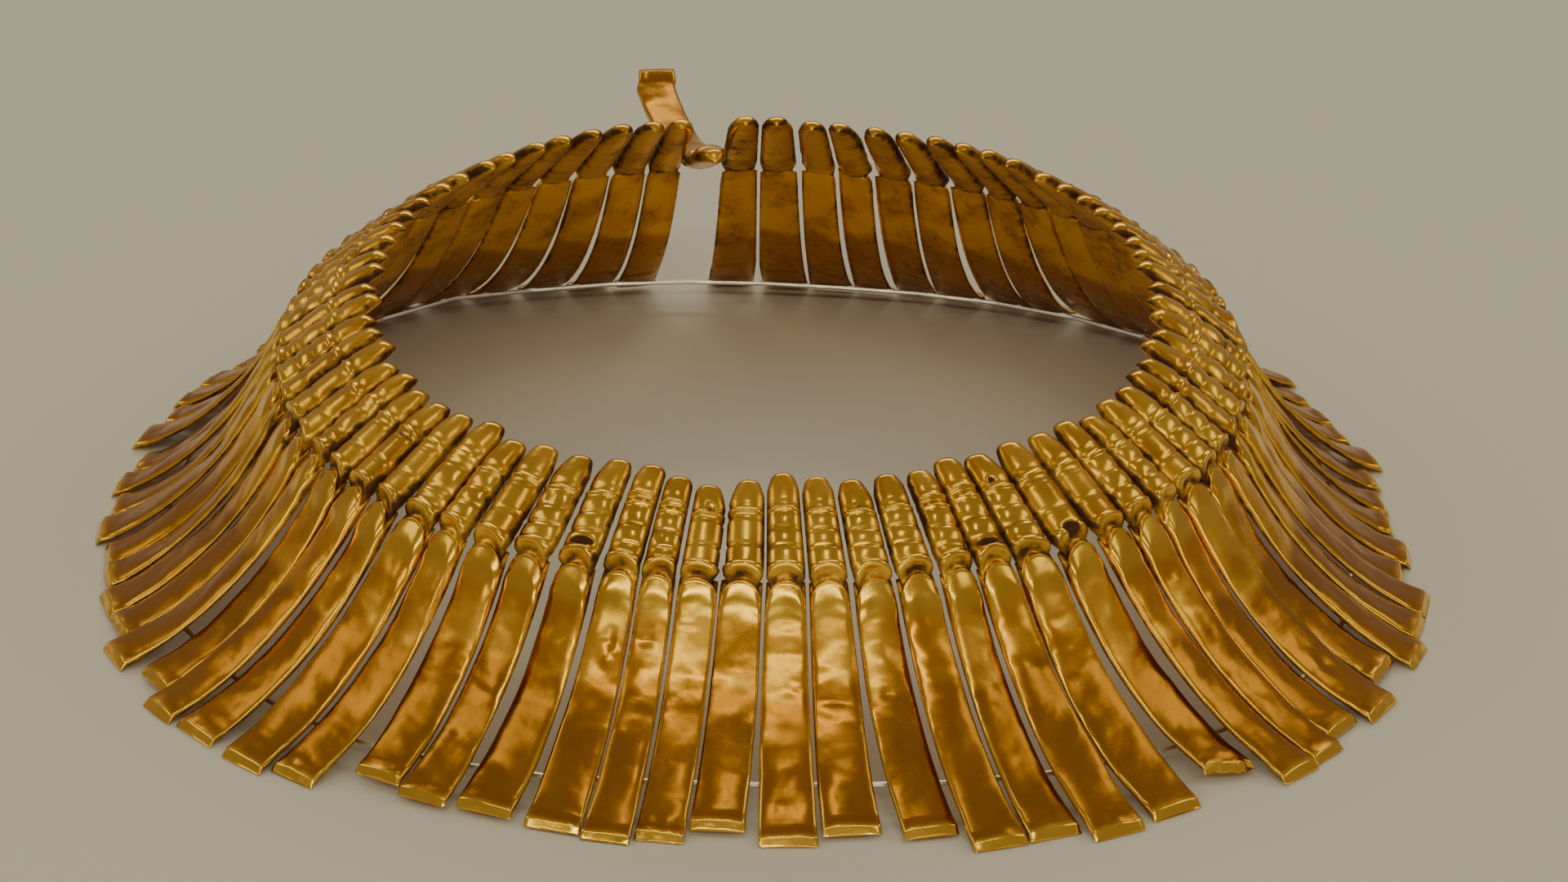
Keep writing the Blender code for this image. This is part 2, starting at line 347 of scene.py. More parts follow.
    def lines(self, centre: Vector) -> list[PendantLine]:
        """All pendants' lines, each with the room that its neighbours leave on either side.

        Args:
            centre: The ring's centre in the frame.

        Returns:
            One line for each pendant.
        """
        rng = random.Random(self.seed)
        poses = [self.pose_of(index, rng) for index in range(self.count)]
        twists = [rng.uniform(-self.twist_spread, self.twist_spread) for _ in range(self.count)]
        for first, second in self.pairs():
            poses[second] = replace(poses[second], rise=poses[first].rise)
            twists[second] = twists[first]
        made = [self.line_of(index, poses[index], twists[index], centre) for index in range(self.count)]
        for index, line in enumerate(made):
            beside = [made[(index + step) % self.count] for step in (-1, 1)]
            for place in line.frames:
                place.before = place.beyond = self.widest / 2
                for other in beside:
                    spot = self.nearest(other, place.centre)
                    away = (spot - place.centre).dot(place.side)
                    room = (abs(away) - self.gap) / 2
                    if away < 0:
                        place.before = min(place.before, room)
                    else:
                        place.beyond = min(place.beyond, room)
        return made


class HeadPattern(Enum):
    """Ways in which a head's bulges are laid out."""

    RINGED = "one sharp ring a third down"
    DOUBLE = "two close rings a third down"
    BARREL = "one long smooth barrel"
    PLAIN = "soft bulges of the back"


class Grade(Enum):
    """How finely a model is cut: sides, head step and blade step in mm."""

    FINE = (32, 0.24, 0.62)
    COARSE = (24, 0.36, 1.0)


@dataclass(frozen=True)
class Ridge:
    """A raised or sunken ring round a head: place and reach as shares of it, height in mm."""

    place: float
    half: float
    height: float


LIP = Ridge(0.930, 0.030, 0.42)
UNDER_LIP = Ridge(LIP.place - 0.066, 0.052, -0.26)
HEAD_RIDGES: dict[HeadPattern, tuple[Ridge, ...]] = {
    HeadPattern.RINGED: (
        Ridge(0.365, 0.060, -0.26), Ridge(0.420, 0.024, 0.44), Ridge(0.515, 0.085, 0.20),
        Ridge(0.600, 0.030, -0.12), Ridge(0.685, 0.085, 0.20), Ridge(0.770, 0.030, -0.14),
        Ridge(0.840, 0.070, 0.14), LIP,
    ),
    HeadPattern.DOUBLE: (
        Ridge(0.280, 0.050, -0.14), Ridge(0.350, 0.022, 0.38), Ridge(0.400, 0.030, -0.28),
        Ridge(0.455, 0.022, 0.38), Ridge(0.565, 0.090, 0.22), Ridge(0.655, 0.030, -0.14),
        Ridge(0.745, 0.085, 0.22), Ridge(0.835, 0.030, -0.14), UNDER_LIP,
        LIP,
    ),
    HeadPattern.BARREL: (
        Ridge(0.345, 0.050, -0.18), Ridge(0.400, 0.024, 0.28), Ridge(0.460, 0.050, -0.20),
        Ridge(0.740, 0.040, -0.16), LIP,
    ),
    HeadPattern.PLAIN: (
        Ridge(0.330, 0.060, -0.26), Ridge(0.400, 0.034, 0.20), Ridge(0.510, 0.060, -0.26),
        Ridge(0.640, 0.070, 0.10), Ridge(0.760, 0.060, -0.26), UNDER_LIP,
        LIP,
    ),
}


@dataclass
class StraightPendant:
    """Model of one whole pendant laid out straight, tip at the origin, length along -Z."""

    pattern: HeadPattern
    grade: Grade
    head_length: float = 17.3 * MM
    blade_length: float = 43.0 * MM
    head_width: float = 5.85 * MM
    head_depth: float = 3.45 * MM
    tip_width: float = 0.45
    shoulder: float = 0.40
    cap_share: float = 0.075
    cap_least: float = 0.12
    cap_rows: tuple[float, ...] = (0.002, 0.010, 0.022, 0.038, 0.055)
    tip_depth: float = 0.35
    lip_place: float = LIP.place
    neck_from: float = LIP.place + 0.012
    neck_place: float = 0.965
    neck_width: float = 4.7 * MM
    neck_depth: float = 1.95 * MM
    nail_width: float = 6.55 * MM
    nail_depth: float = 2.6 * MM
    nail_length: float = 4.2 * MM
    nail_dome: float = 0.34 * MM
    nail_proud: float = 0.30
    rim: float = 0.10 * MM
    rim_place: float = 0.25 * MM
    rim_reach: float = 0.35 * MM
    rim_step: float = 0.16 * MM
    rim_rows: int = 7
    thin_from: float = 0.45
    blade_depth: float = 1.45 * MM
    end_width: float = 8.75 * MM
    end_slope: float = 1.05 * MM
    end_edge: float = 0.45 * MM
    end_rows: int = 12
    end_rounding: tuple[tuple[float, float], ...] = ((0.30, 0.06 * MM), (0.80, 0.03 * MM))

    @property
    def name(self) -> str:
        """Name of the model's object."""
        return f"straight_pendant_{self.pattern.name.lower()}_{self.grade.name.lower()}"

    @property
    def length(self) -> float:
        """Length of the whole model."""
        return self.head_length + self.blade_length

    @property
    def ridges(self) -> tuple[Ridge, ...]:
        """Rings of this model's head, from the tip down."""
        return HEAD_RIDGES[self.pattern]

    def head_section(self, share: float) -> tuple[float, float]:
        """Width and depth of the head.

        Args:
            share: Share of the head's length, from the tip.

        Returns:
            Width and depth there.
        """
        grown = self.tip_width + (1 - self.tip_width) * math.sin(
            math.pi / 2 * min(1.0, share / self.shoulder)
        )
        cap = math.sqrt(max(0.0, 1 - (1 - min(1.0, share / self.cap_share)) ** 2))
        cap = max(cap, self.cap_least)
        width = self.head_width * grown * cap
        depth = self.head_depth * (self.tip_depth + (1 - self.tip_depth) * grown) * cap
        relief = sum(
            ridge.height * MM * hump(ridge.place, ridge.half, share) for ridge in self.ridges
        )
        neck = smooth(self.neck_from, self.neck_place, share)
        width += (self.neck_width - width) * neck + 2 * relief
        depth += (self.neck_depth - depth) * neck + relief * (1 + neck)
        return width, depth

    def blade_section(self, distance: float) -> tuple[float, float]:
        """Width and depth of the blade.

        Args:
            distance: Length below the nail's top edge.

        Returns:
            Width and depth there.
        """
        share = distance / self.blade_length
        width = self.nail_width + (self.end_width - self.nail_width) * share
        nail = 1 - smooth(self.nail_length * 0.5, self.nail_length * 1.5, distance)
        proud = self.nail_proud * (self.nail_depth - self.blade_depth)
        late = 1 - smooth(self.nail_length, self.thin_from * self.blade_length, distance)
        depth = self.blade_depth + proud * nail + (self.nail_depth - self.blade_depth - proud) * late
        dome = max(0.0, 1 - distance / self.nail_length)
        depth -= self.nail_dome * dome * dome
        rim = self.rim * hump(self.rim_place, self.rim_reach, distance)
        depth += rim
        width += rim
        left = self.blade_length - distance
        slope = max(0.0, 1 - left / self.end_slope)
        depth -= (self.blade_depth - self.end_edge) * slope
        return width, depth

    def rows(self) -> list[tuple[float, float, float]]:
        """Sections from tip to end: distance from the tip, width and depth.

        Returns:
            One row for each ring of the model.
        """
        _, head_step, blade_step = self.grade.value
        count = round(self.head_length / (head_step * MM))
        below = [
            self.cap_share + (1.0 - self.cap_share) * number / count for number in range(count)
        ]
        rows = [
            (share * self.head_length, *self.head_section(share))
            for share in (*self.cap_rows, *below)
        ]
        rows.append((self.head_length, self.neck_width, self.neck_depth))
        near = [self.rim_step * number for number in range(1, self.rim_rows + 1)]
        start, finish = near[-1], self.blade_length - 2 * self.end_slope
        count = round((finish - start) / (blade_step * MM))
        far = [start + (finish - start) * number / count for number in range(1, count + 1)]
        last = [
            finish + 2 * self.end_slope * number / self.end_rows
            for number in range(1, self.end_rows + 1)
        ]
        for distance in near + far + last:
            rows.append((self.head_length + distance, *self.blade_section(distance)))
        return rows

    def build(self) -> bpy.types.Object:
        """Models the straight pendant ring by ring.

        Returns:
            The model, which is removed once its copies are made.
        """
        rows = self.rows()
        bpy.ops.object.select_all(action="DESELECT")
        distance, width, depth = rows[0]
        bpy.ops.mesh.primitive_circle_add(
            vertices=self.grade.value[0], radius=0.5, fill_type="NGON", location=(0, 0, 0)
        )
        model = bpy.context.object
        model.name = self.name
        model.data.name = model.name
        bpy.ops.object.mode_set(mode="EDIT")
        bpy.ops.mesh.select_all(action="SELECT")
        bpy.ops.transform.resize(value=(width, depth, 1), center_override=(0, 0, 0))
        bpy.ops.transform.translate(value=(0, depth / 2, -distance))
        for (z, width, depth), (low, wide, deep) in zip(rows, rows[1:]):
            shift = (0, (deep - depth) / 2, z - low)
            self.extend(shift, (wide / width, deep / depth, 1), (0, deep / 2, -low))
        self.close_end(rows[-1])
        bpy.ops.mesh.select_all(action="SELECT")
        bpy.ops.mesh.remove_doubles(threshold=1e-6)
        bpy.ops.mesh.normals_make_consistent(inside=False)
        bpy.ops.object.mode_set(mode="OBJECT")
        return model

    def extend(self, shift: tuple, size: tuple, about: tuple) -> None:
        """Draws the open face out by a shift, and scales it about a point."""
        bpy.ops.mesh.extrude_region_move(TRANSFORM_OT_translate={"value": shift})
        bpy.ops.transform.resize(value=size, center_override=about)

    def close_end(self, row: tuple[float, float, float]) -> None:
        """Rounds the blade's end and leaves a small flat in its middle.

        Args:
            row: The last section.
        """
        distance, width, depth = row
        for inset, drop in self.end_rounding:
            size = (1 - inset * depth / width, 1 - inset, 1)
            self.extend((0, 0, -drop), size, (0, depth / 2, -distance))


@dataclass(frozen=True)
class Dent:
    """A dent: mm from the tip, share across, mm of reach down and across, mm of depth, and its dirt and
    painted shade.
    """

    down: float
    across: float
    long: float
    wide: float
    depth: float
    soil_and_shade: float = 0.0


@dataclass(frozen=True)
class Kink:
    """A bend line across the blade, in mm: place, slant, height and reach above and below."""

    down: float
    slant: float
    height: float
    above: float = 6.0
    below: float = 9.0


@dataclass(frozen=True)
class Wear:
    """What sets one pendant apart from the next, with its arches and skew in mm."""

    pattern: HeadPattern = HeadPattern.RINGED
    lip_arch: float = 0.55
    lip_skew: float = 0.0
    nail_arch: float = 3.3
    end_crumple: float = 0.0
    end_open: bool = False
    torn: bool = False
    dents: tuple[Dent, ...] = ()
    kinks: tuple[Kink, ...] = ()


# The last number of each Dent is its dirt and painted shade, darkest in creases and pits.
FRONT_WEAR: dict[int, Wear] = {
    67: Wear(HeadPattern.BARREL, lip_skew=0.3, end_crumple=0.3),
    68: Wear(dents=(Dent(9.0, 0.2, 1.6, 1.2, 0.35, 0.6),)),
    69: Wear(lip_arch=1.0, dents=(Dent(15.0, 0.0, 0.75, 3.4, 0.70, 3.0),)),
    70: Wear(
        HeadPattern.DOUBLE,
        dents=(Dent(28.0, -0.15, 2.6, 1.5, 0.55, 0.5), Dent(31.5, -0.2, 1.0, 1.2, -0.30)),
    ),
    71: Wear(
        HeadPattern.DOUBLE, lip_skew=-0.4,
        dents=(Dent(12.5, 0.3, 1.1, 0.9, 0.45, 0.7), Dent(27.5, 0.1, 0.7, 2.4, 0.30, 0.2)),
    ),
    72: Wear(
        HeadPattern.BARREL, nail_arch=2.2, end_crumple=0.7,
        dents=(Dent(5.6, -0.25, 1.3, 1.0, 0.65, 0.9), Dent(24.5, 0.2, 0.6, 2.0, 0.30, 0.2)),
    ),
    73: Wear(HeadPattern.BARREL, lip_arch=0.35),
    0: Wear(
        kinks=(Kink(34.4, 0.6, 0.50), Kink(26.0, -0.4, 0.18, 3.0, 3.0)),
        dents=(Dent(34.0, -0.35, 0.7, 0.5, 0.35, 0.9), Dent(23.0, -0.5, 0.6, 0.4, 0.3, 0.8)),
    ),
    1: Wear(
        dents=(Dent(35.0, -0.5, 1.8, 1.4, -0.25), Dent(37.2, 0.1, 0.8, 2.6, 0.20, 0.5)),
        kinks=(Kink(33.4, 0.8, 0.55),),
    ),
    2: Wear(
        lip_arch=1.1,
        dents=(Dent(30.0, 0.1, 3.0, 2.0, -0.25), Dent(35.5, 0.3, 0.9, 1.6, 0.22, 0.3)),
        kinks=(Kink(34.6, -1.0, 0.45),),
    ),
    3: Wear(lip_arch=0.4, kinks=(Kink(32.0, -0.6, 0.35),)),
    4: Wear(HeadPattern.DOUBLE, lip_arch=0.3, dents=(Dent(36.0, -0.2, 0.6, 0.5, 0.4, 0.9),)),
    5: Wear(
        HeadPattern.DOUBLE, lip_arch=0.9, end_crumple=0.6,
        dents=(Dent(15.1, 0.0, 0.65, 3.0, 0.65, 3.0), Dent(33.0, -0.2, 0.5, 1.8, 0.25, 0.2)),
        kinks=(Kink(31.0, 0.8, 0.35),),
    ),
    6: Wear(
        lip_skew=0.5, end_open=True,
        dents=(Dent(5.6, 0.1, 0.8, 1.1, 0.7, 2.0), Dent(27.0, 0.2, 0.6, 2.4, 0.25, 0.2)),
    ),
    7: Wear(
        HeadPattern.BARREL, lip_arch=0.2, torn=True, end_crumple=0.6,
        dents=(Dent(15.9, -0.05, 1.1, 2.2, 0.9, 3.0), Dent(30.0, 0.1, 3.0, 1.2, -0.25)),
    ),
    8: Wear(HeadPattern.BARREL, lip_skew=0.2),
}


@dataclass(frozen=True)
class Layer:
    """A layer of noise on the sheet: bumps to the metre, height, and its share on the head."""

    pitch: float
    height: float
    on_head: float = 0.0

    def at(self, spot: Vector, on_blade: float = 1.0) -> float:
        """Height of the layer at a place, less on the head than on the blade."""
        return noise.noise(spot * self.pitch) * self.height * (self.on_head + on_blade)


@dataclass
class PendantCopy:
    """One pendant of the collar, bent on to its line and given its own wear."""

    index: int
    model: StraightPendant
    line: PendantLine
    wear: Wear
    head_squareness: float = 2.12
    nail_squareness: float = 3.2
    blade_squareness: float = 4.2
    sway: Layer = Layer(95.0, 0.42 * MM)
    hammer: Layer = Layer(270.0, 0.15 * MM, 0.25)
    fine: Layer = Layer(900.0, 0.022 * MM, 0.4)
    front_edge: tuple[float, float] = (-0.5, 0.35)
    blade_from: float = 2 * MM
    blade_full: float = 9 * MM
    crumple_pitch: float = 420.0
    crumple_mm: float = 0.8
    fold_pitch: float = 150.0
    fold_height: float = 0.07 * MM
    rim_height: float = 0.075 * MM
    noise_stride: float = 1.7
    half_blade: float = 3.6 * MM
    end_margin: float = 0.32 * MM
    lip_reach: float = 2.4 * MM
    skew_reach: float = 2.6 * MM
    nail_fade: float = 9 * MM
    pocket: float = 2.4 * MM
    pocket_from: float = 0.07 * MM
    # Where the painted shade of the lower blade begins, and how its border wanders.
    brown_from: float = 34.0 * MM
    brown_sway: Layer = Layer(130.0, 2.5 * MM)
    brown_slant: float = 0.8 * MM
    brown_below_kink: float = 0.8
    ring_count: int = 74
    widening: float = 0.16
    full_from: float = 1.0
    full_to: float = 7.0
    tear: float = 5.0 * MM
    tear_reach: float = 9 * MM
    torn_edge: float = 1.2 * MM
    sag: float = 0.16 * MM
    sag_full: float = 8 * MM

    @property
    def fullness(self) -> float:
        """How much wider than the model the pendant is where its neighbours leave room."""
        steps = min(self.index, self.ring_count - self.index)
        return 1.0 + self.widening * smooth(self.full_from, self.full_to, steps)

    def squared(self, x: float, y: float, power: float) -> tuple[float, float]:
        """Moves a point of a unit circle on to an oval, whose power is 2 where it is round."""
        reach = (abs(x) ** power + abs(y) ** power) ** (-1.0 / power)
        return x * reach, y * reach

    def arch(self, down: float, x: float, front: float) -> float:
        """How far a ring is drawn up in the middle of its front.

        Args:
            down: Distance from the model's tip.
            x: Share across.
            front: 1 on the front, 0 on the back.

        Returns:
            Length towards the tip.
        """
        lip_at = self.model.lip_place * self.model.head_length
        nail_at = self.model.head_length
        lip = hump(lip_at, self.lip_reach, down) * self.wear.lip_arch
        nail = smooth(lip_at, nail_at, down) * (1 - smooth(nail_at, nail_at + self.nail_fade, down))
        bow = (math.sqrt(max(0.0, 1 - 0.98 * x * x)) - 1) * front
        skew = self.wear.lip_skew * hump(lip_at, self.skew_reach, down) * x * front
        return ((lip + nail * self.wear.nail_arch) * bow + skew) * MM

    def torn_back(self, x: float, down: float) -> float:
        """How far a torn end is missing.

        Args:
            x: Share across.
            down: Distance from the model's tip.

        Returns:
            Length that is gone at this place.
        """
        if not self.wear.torn:
            return 0.0
        last = self.model.length
        ragged = 0.45 * abs(noise.noise(Vector((x * 2.6, 4.1, 0.3)))) + 0.55 * smooth(-0.4, 0.9, x)
        return self.tear * ragged * smooth(last - self.tear_reach, last, down)

    def relief(self, x: float, down: float, front: float, spot: Vector) -> tuple[float, float]:
        """Hammering, dents and folded rims of the front.

        Args:
            x: Share across, -1 to 1.
            down: Distance from the model's tip.
            front: 1 on the front, 0 on the back.
            spot: Place for the noise.

        Returns:
            Height along the outward direction, and the dirt and painted shade of the dents.
        """
        head = self.model.head_length
        on_blade = smooth(head + self.blade_from, head + self.blade_full, down)
        sway = self.sway.at(spot, on_blade)
        hammer = self.hammer.at(spot, on_blade)
        fold = 1 - abs(noise.noise(spot * self.fold_pitch + Vector((3.1, 5.2, 0.7))))
        fold = smooth(0.90, 1.0, fold) * self.fold_height * (0.15 + on_blade)
        fine = self.fine.at(spot, on_blade)
        last = self.model.length
        crumple = smooth(last - 7 * MM, last - 1 * MM, down) * self.wear.end_crumple
        sway += noise.noise(spot * self.crumple_pitch) * crumple * self.crumple_mm * MM
        hammer += sway - fold
        rim = hump(0.93, 0.10, abs(x)) - 0.8 * hump(0.76, 0.14, abs(x))
        height = hammer + fine + rim * self.rim_height * on_blade
        soil_and_shade = 0.0
        # Dents darken at their deepest, with dirt and painted shade.
        for dent in self.wear.dents:
            across = (x - dent.across) * self.half_blade / dent.wide
            away = math.hypot((down - dent.down * MM) / dent.long, across)
            if away < MM:
                share = (1 - (away / MM) ** 2) ** 2
                height -= dent.depth * MM * share
                soil_and_shade = max(soil_and_shade, dent.soil_and_shade * share)
        for kink in self.wear.kinks:
            gap = down / MM - kink.down - kink.slant * x
            share = 1 + gap / kink.above if gap < 0 else 1 - gap / kink.below
            height += kink.height * MM * max(0.0, share)
        return height * front, soil_and_shade * front

    def section(self, down: float) -> tuple[float, float, float]:
        """Outline of the model's ring at a place.

        Args:
            down: Distance from the model's tip.

        Returns:
            Width, depth and squareness.
        """
        model, head = self.model, self.model.head_length
        if down > head:
            blend = smooth(0, 5 * MM, down - head)
            squareness = self.nail_squareness + (self.blade_squareness - self.nail_squareness) * blend
            return *model.blade_section(min(down - head, model.blade_length)), squareness
        if down >= model.neck_place * head:
            return model.neck_width, model.neck_depth, self.head_squareness
        return *model.head_section(down / head), self.head_squareness

    def shape(self) -> tuple[bpy.types.Mesh, dict[str, list[float]]]:
        """Bends a copy of the model on to the line.

        Returns:
            The new mesh, and per point its dirt and painted shade, painted highlight and painted shade
            below the flare.
        """
        model = self.model
        mesh = bpy.data.objects[model.name].data.copy()
        sections = {}
        head, line = model.head_length, self.line
        stretch_head = line.head_length / head
        stretch_blade = (line.total - line.head_length) / (model.blade_length + self.end_margin)
        offset = Vector((self.index * self.noise_stride, 0.0, 0.0))
        soils_and_shades, painted_highlights, painted_shades = [], [], []
        for vertex in mesh.vertices:
            x, y, z = vertex.co
            down = -z
            ring = round(down, 7)
            if ring not in sections:
                sections[ring] = self.section(down)
            width, depth, squareness = sections[ring]
            ux, uy = 2 * x / width, 2 * y / depth - 1
            size = math.hypot(ux, uy)
            if size > 1e-4:
                sx, sy = self.squared(ux, uy, squareness)
                ux, uy = sx * size, sy * size
            front = smooth(*self.front_edge, uy)
            lift = self.arch(down, ux, front)
            moved = down - lift
            if moved <= head:
                distance = moved * stretch_head
            else:
                distance = line.head_length + (moved - head) * stretch_blade
            distance -= self.torn_back(ux, down)
            # The dark inside of a torn or open end is painted in as shade.
            soil_and_shade_inside = 0.0
            if self.wear.torn and down > model.length - self.torn_edge:
                soil_and_shade_inside = 1.4 * abs(noise.noise(Vector((ux * 3.3, 7.7, 1.9))))
            if self.wear.end_open and down > model.length + self.pocket_from:
                distance -= self.pocket * (1 - size)
                soil_and_shade_inside = 1.0
            place = line.at(distance)
            room = place.beyond if ux > 0 else place.before
            half = min(self.fullness * width / 2, room)
            spot = Vector((ux * width / 2, uy * depth / 2, down)) + offset
            height, soil_and_shade = self.relief(ux, down, front, spot)
            out = (uy + 1) / 2 * depth + height * max(0.0, uy)
            if down > head:
                sag = self.sag * smooth(head + self.blade_from, head + self.sag_full, down)
                out -= sag * ux * ux * front
            vertex.co = place.centre + place.side * (ux * half) + place.outward * out
            # Per point: dirt with painted shade, painted highlight, and painted shade below the flare.
            soils_and_shades.append(max(soil_and_shade, soil_and_shade_inside, self.soil_and_shade_at(ux, uy, down)))
            painted_highlights.append(self.painted_highlight_at(ux, down, front))
            painted_shades.append(self.painted_shade_at(ux, down, spot))
        return mesh, {"soil_and_shade": soils_and_shades, "painted_highlight": painted_highlights, "painted_shade": painted_shades}

    def soil_and_shade_at(self, x: float, y: float, down: float) -> float:
        """Soil that has gathered in a recess.

        Args:
            x: Share across.
            y: Share in depth, 1 on the front.
            down: Distance from the model's tip.

        Returns:
            0 where untouched, 1 where darkest.
        """
        share = down / self.model.head_length
        neck = hump((self.model.lip_place + 1) / 2 + 0.004, 0.042, share)
        beside = 0.85 * smooth(0.58, 1.0, abs(x)) * (1 - smooth(0.9, 1.3, share))
        behind = 0.45 * smooth(0.2, -0.6, y)
        grooves = 0.0
        for ridge in self.model.ridges:
            if ridge.height < 0:
                grooves = max(grooves, 0.62 * hump(ridge.place, ridge.half, share))
        wall = 0.8 * smooth(0.90, 1.0, abs(x)) * smooth(0.5, -0.1, y) * smooth(1.0, 1.1, share)
        return min(1.0, max(0.78 * neck, beside, behind, grooves, wall))

    def painted_highlight_at(self, x: float, down: float, front: float) -> float:
        """Painted highlight: where the gold is painted brighter, on raised rings, nail, end, long edges
        and barrel centre.

        Args:
            x: Share across.
            down: Distance from the model's tip.
            front: 1 on the front, 0 on the back.

        Returns:
            0 where dull, 1 where bright.
        """
        head = self.model.head_length
        share = down / head
        raised = max(
            hump(ridge.place, ridge.half, share) for ridge in self.model.ridges if ridge.height > 0
        )
        nail = smooth(head, head + 0.3 * MM, down) * (1 - smooth(head + 5 * MM, head + 7 * MM, down))
        last = self.model.length - self.model.end_slope
        end = smooth(last - 0.3 * MM, last, down)
        edge = smooth(0.86, 0.96, abs(x)) * smooth(head, head + 4 * MM, down) * 0.8
        barrel = 0.7 * (1 - smooth(0.35, 0.65, abs(x))) * (1 - smooth(0.88, 0.93, share))
        return front * max(raised, 0.75 * nail, end, edge, barrel)

    def painted_shade_at(self, x: float, down: float, spot: Vector) -> float:
        """Painted shade: where the blade is painted browner, below its flare.

        Args:
            x: Share across.
            down: Distance from the model's tip.
            spot: Place for the noise.

        Returns:
            0 where bright, 1 where brown.
        """
        border = self.brown_from + self.brown_sway.at(spot) + self.brown_slant * x
        if self.wear.kinks:
            kink = self.wear.kinks[0]
            border = (kink.down + kink.slant * x + self.brown_below_kink) * MM
        last = self.model.length - self.model.end_slope
        return smooth(border - 1 * MM, border + 1.5 * MM, down) * (1 - smooth(last - 1 * MM, last, down))

    def build(self, gold: bpy.types.Material) -> bpy.types.Object:
        """Makes the finished piece.

        Args:
            gold: The sheet's finish.

        Returns:
            The piece, riding on the part.
        """
        mesh, painted = self.shape()
        mesh.name = f"gold_pendant_{self.index + 1:02d}"
        for name, values in painted.items():
            layer = mesh.attributes.new(name, "FLOAT", "POINT")
            layer.data.foreach_set("value", values)
        for polygon in mesh.polygons:
            polygon.use_smooth = True
        mesh.materials.clear()
        mesh.materials.append(gold)
        piece = bpy.data.objects.new(mesh.name, mesh)
        bpy.context.scene.collection.objects.link(piece)
        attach(piece, "root")
        return piece


@dataclass
class NodeKit:
    """A node material in the making, with the steps that the finishes share."""

    name: str

    def __post_init__(self) -> None:
        """Starts the material."""
        self.material = bpy.data.materials.new(self.name)
        self.material.use_nodes = True
        self.tree = self.material.node_tree
        self.shader = self.tree.nodes["Principled BSDF"]

    def fill(self, node: bpy.types.Node, inputs: dict[str | int, Value]) -> bpy.types.Node:
        """Sets or links a node's inputs.

        Args:
            node: The node.
            inputs: A socket, colour or number for each input.

        Returns:
            The same node.
        """
        for name, value in inputs.items():
            if isinstance(value, Socket):
                self.tree.links.new(value, node.inputs[name])
            else:
                plain = (*value, 1.0) if isinstance(value, tuple) else value
                node.inputs[name].default_value = plain
        return node

    def node(self, kind: str, inputs: dict[str | int, Value], **settings: str) -> bpy.types.Node:
        """Adds a node.

        Args:
            kind: Its type.
            inputs: A socket, colour or number for each input.
            settings: Its other settings, by name.

        Returns:
            The node.
        """
        node = self.tree.nodes.new(kind)
        for name, value in settings.items():
            setattr(node, name, value)
        return self.fill(node, inputs)

    def clouds(self, size: float, detail: float, roughness: float) -> Socket:
        """Noise in the object's own coordinates.

        Args:
            size: Size of a cloud in metres.
            detail: Number of finer layers.
            roughness: Weight of the finer layers.

        Returns:
            The noise's value.
        """
        inputs = {"Scale": 1.0 / size, "Detail": detail, "Roughness": roughness}
        inputs["Vector"] = self.node("ShaderNodeTexCoord", {}).outputs["Object"]
        return self.node("ShaderNodeTexNoise", inputs).outputs["Fac"]

    def spread(
        self, value: Socket, low: float, high: float, start: float, finish: float, ends: str = "SMOOTHSTEP"
    ) -> Socket:
        """Maps a value from between low and high to between start and finish."""
        inputs = {"Value": value, "From Min": low, "From Max": high, "To Min": start, "To Max": finish}
        return self.node("ShaderNodeMapRange", inputs, interpolation_type=ends).outputs["Result"]

    def blend(self, share: Socket, first: Socket | Colour, second: Colour) -> Socket:
        """Mixes a share of a second colour into the first."""
        inputs = {"Factor": share, "A": first, "B": second}
        return self.node("ShaderNodeMix", inputs, data_type="RGBA").outputs["Result"]

    def reckon(self, operation: str, first: Socket, second: Socket | float) -> Socket:
        """Result of a sum, a product or another operation by its name."""
        return self.node("ShaderNodeMath", {0: first, 1: second}, operation=operation).outputs["Value"]

    def painted(self, name: str) -> Socket:
        """Value painted on the piece's own points, by its attribute's name."""
        return self.node("ShaderNodeAttribute", {}, attribute_name=name).outputs["Fac"]

    def bumps(self, height: Socket, strength: float, depth: float) -> Socket:
        """Normal of a surface with small bumps, their depth in metres."""
        inputs = {"Height": height, "Strength": strength, "Distance": depth}
        return self.node("ShaderNodeBump", inputs).outputs["Normal"]


